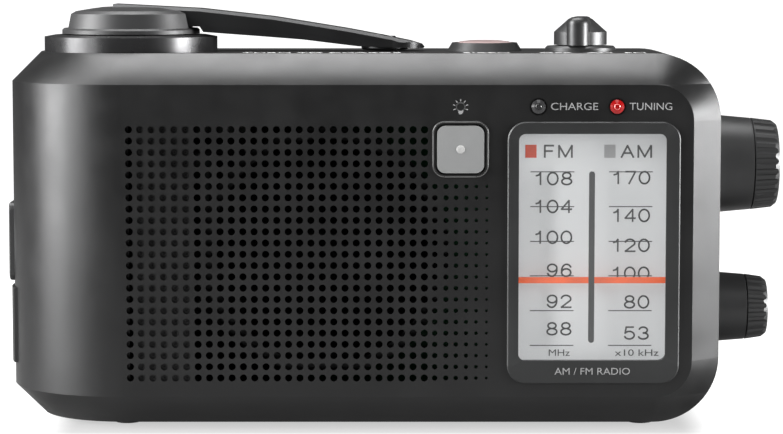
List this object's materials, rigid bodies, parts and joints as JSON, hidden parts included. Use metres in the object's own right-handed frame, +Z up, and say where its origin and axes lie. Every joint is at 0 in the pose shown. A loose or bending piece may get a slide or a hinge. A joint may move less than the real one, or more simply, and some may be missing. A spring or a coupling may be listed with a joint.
{
  "type": "hand crank emergency radio",
  "caption": "Portable camping radio with a grille, lit tuning dial, fold-over charging crank, torch, siren button and side knobs.",
  "frame": {"origin": "centre of the footprint, on the plane the four rubber feet stand on", "axes": "+X to the right seen from the front, towards the tuning knob; the grille and dial face -Y; +Z up"},
  "size_m": [0.2104, 0.0662, 0.1127],
  "materials": {
    "graphite": "satin metallic graphite, fine grain",
    "panel_graphite": "satin metallic graphite, fine grain",
    "feet_rubber": "matt",
    "screw_steel": "satin",
    "trim_grey": "satin",
    "button_grey": "soft satin",
    "lamp_off": "gloss, unlit",
    "lamp_red": "gloss, lit",
    "switch_black": "moulded",
    "board_green": "solder resist",
    "siren_trim": "satin",
    "siren_red": "gloss",
    "knob_grey": "satin",
    "shaft_steel": "turned",
    "bush_brass": "turned",
    "gear_white": "moulded",
    "capacitor_clear": "moulded",
    "bezel_grey": "satin",
    "lens_clear": "clear acrylic",
    "scale_white": "printed",
    "pointer_orange": "satin",
    "chassis_black": "moulded",
    "cord_nylon": "braided",
    "basket_steel": "zinc plated",
    "cone_paper": "pressed paper pulp",
    "magnet_ferrite": "sintered",
    "coil_copper": "enamelled wire on a former",
    "cell_jacket": "printed jacket",
    "crank_gloss": "gloss",
    "crank_dark": "satin",
    "torch_trim": "satin",
    "reflector_mirror": "vacuum metallised",
    "led_board": "white resist",
    "socket_steel": "plated",
    "aerial_chrome": "polished"
  },
  "bodies": {
    "radio_body": {"main_case": "graphite", "rear_cover": "graphite", "front_panel": "panel_graphite", "feet": "feet_rubber", "case_screws": "screw_steel", "light_button_bezel": "trim_grey", "charge_led": "lamp_off", "tuning_led": "lamp_red", "push_switches": "switch_black", "selector_switch": "switch_black", "volume_control": "switch_black", "circuit_boards": "board_green", "siren_bezel": "siren_trim", "selector_base": "siren_trim", "tuning_bush": "bush_brass", "battery_contacts": "bush_brass", "tuning_capacitor": "capacitor_clear", "dial_bezel": "bezel_grey", "dial_centre_bar": "bezel_grey", "dial_lens": "lens_clear", "torch_lens": "lens_clear", "dial_scale": "scale_white", "dial_chassis": "chassis_black", "gearbox_frame": "chassis_black", "battery_tray": "chassis_black", "dial_cord": "cord_nylon", "speaker_basket": "basket_steel", "dynamo": "basket_steel", "speaker_cone": "cone_paper", "speaker_magnet": "magnet_ferrite", "ferrite_rod": "magnet_ferrite", "aerial_coil": "coil_copper", "battery_cells": "cell_jacket", "crank_base_ring": "crank_gloss", "torch_bezel": "torch_trim", "torch_reflector": "reflector_mirror", "torch_led": "led_board", "sockets": "socket_steel"},
    "battery_door_body": {"battery_door": "graphite"},
    "light_button_body": {"light_button": "button_grey"},
    "siren_button_body": {"siren_button": "siren_red"},
    "selector_body": {"selector_knob": "knob_grey"},
    "tuning_knob_body": {"tuning_knob": "knob_grey", "tuning_shaft": "shaft_steel"},
    "tuning_drum_body": {"tuning_drum": "gear_white"},
    "pointer_body": {"dial_pointer": "pointer_orange"},
    "volume_body": {"volume_knob": "knob_grey", "volume_shaft": "shaft_steel"},
    "crank_body": {"crank_hub": "crank_dark", "crank_hinge_pin": "screw_steel", "crank_shaft": "gear_white"},
    "crank_arm_body": {"crank_arm": "crank_dark"},
    "finger_knob_body": {"crank_finger_knob": "crank_dark"},
    "idler_body": {"idler_gear": "gear_white"},
    "dynamo_rotor_body": {"dynamo_pinion": "gear_white"},
    "port_cover_body": {"port_cover": "feet_rubber"},
    "aerial_swivel_body": {"aerial_swivel": "shaft_steel"},
    "aerial_tube_body": {"aerial_tube_1": "aerial_chrome"},
    "aerial_middle_body": {"aerial_tube_2": "aerial_chrome"},
    "aerial_tip_body": {"aerial_tip": "aerial_chrome"}
  },
  "joints": [
    {"name": "crank_spin", "type": "hinge", "parent": "radio_body", "child": "crank_body", "pos_m": [-0.0717, 0, 0.105], "axis": [0, 0, 1], "continuous": true},
    {"name": "idler_spin", "type": "hinge", "parent": "radio_body", "child": "idler_body", "pos_m": [-0.0477, 0, 0.084], "axis": [0, 0, 1], "continuous": true},
    {"name": "dynamo_spin", "type": "hinge", "parent": "radio_body", "child": "dynamo_rotor_body", "pos_m": [-0.0633, 0, 0.079], "axis": [0, 0, 1], "continuous": true},
    {"name": "crank_fold", "type": "hinge", "parent": "crank_body", "child": "crank_arm_body", "pos_m": [-0.0717, 0, 0.108], "axis": [0, -1, 0], "range_deg": [0, 155]},
    {"name": "finger_knob_spin", "type": "hinge", "parent": "crank_arm_body", "child": "finger_knob_body", "pos_m": [-0.00215, 0, 0.102], "axis": [0, 0, 1], "continuous": true},
    {"name": "tuning_turn", "type": "hinge", "parent": "radio_body", "child": "tuning_knob_body", "pos_m": [0.096, 0, 0.0688], "axis": [1, 0, 0], "range_deg": [-332, 195.5]},
    {"name": "tuning_drum_turn", "type": "hinge", "parent": "radio_body", "child": "tuning_drum_body", "pos_m": [0.0665, 0, 0.0544], "axis": [1, 0, 0], "range_deg": [-66, 111]},
    {"name": "pointer_slide", "type": "slide", "parent": "radio_body", "child": "pointer_body", "axis": [0, 0, 1], "range_m": [-0.0166, 0.0282]},
    {"name": "volume_turn", "type": "hinge", "parent": "radio_body", "child": "volume_body", "pos_m": [0.095, 0, 0.0292], "axis": [1, 0, 0], "range_deg": [-150, 150]},
    {"name": "selector_turn", "type": "hinge", "parent": "radio_body", "child": "selector_body", "pos_m": [0.0515, 0, 0.105], "axis": [0, 0, 1], "range_deg": [-40, 40]},
    {"name": "light_press", "type": "slide", "parent": "radio_body", "child": "light_button_body", "axis": [0, 1, 0], "range_m": [0, 0.001], "stiffness_N_per_m": 400, "springref_m": -0.001},
    {"name": "siren_press", "type": "slide", "parent": "radio_body", "child": "siren_button_body", "axis": [0, 0, -1], "range_m": [0, 0.0012], "stiffness_N_per_m": 400, "springref_m": -0.001},
    {"name": "battery_door_swing", "type": "hinge", "parent": "radio_body", "child": "battery_door_body", "pos_m": [0, 0.0325, 0.0122], "axis": [-1, 0, 0], "range_deg": [0, 110]},
    {"name": "port_cover_swing", "type": "hinge", "parent": "radio_body", "child": "port_cover_body", "pos_m": [-0.1049, 0, 0.015], "axis": [0, -1, 0], "range_deg": [0, 110]},
    {"name": "aerial_raise", "type": "hinge", "parent": "radio_body", "child": "aerial_swivel_body", "pos_m": [-0.038, 0.0256, 0.089], "axis": [0, -1, 0], "range_deg": [0, 90]},
    {"name": "aerial_tilt", "type": "hinge", "parent": "aerial_swivel_body", "child": "aerial_tube_body", "pos_m": [-0.038, 0.0292, 0.089], "axis": [0, 0, 1], "range_deg": [0, 90]},
    {"name": "aerial_extend_1", "type": "slide", "parent": "aerial_tube_body", "child": "aerial_middle_body", "axis": [1, 0, 0], "range_m": [0, 0.085]},
    {"name": "aerial_extend_2", "type": "slide", "parent": "aerial_middle_body", "child": "aerial_tip_body", "axis": [1, 0, 0], "range_m": [0, 0.085]}
  ],
  "couplings": [
    {"joint": "idler_spin", "follows": "crank_spin", "ratio": -4},
    {"joint": "dynamo_spin", "follows": "crank_spin", "ratio": 13.333},
    {"joint": "tuning_drum_turn", "follows": "tuning_turn", "ratio": -0.33333},
    {"joint": "pointer_slide", "follows": "tuning_turn", "m_per_rad": -0.0048595}
  ]
}
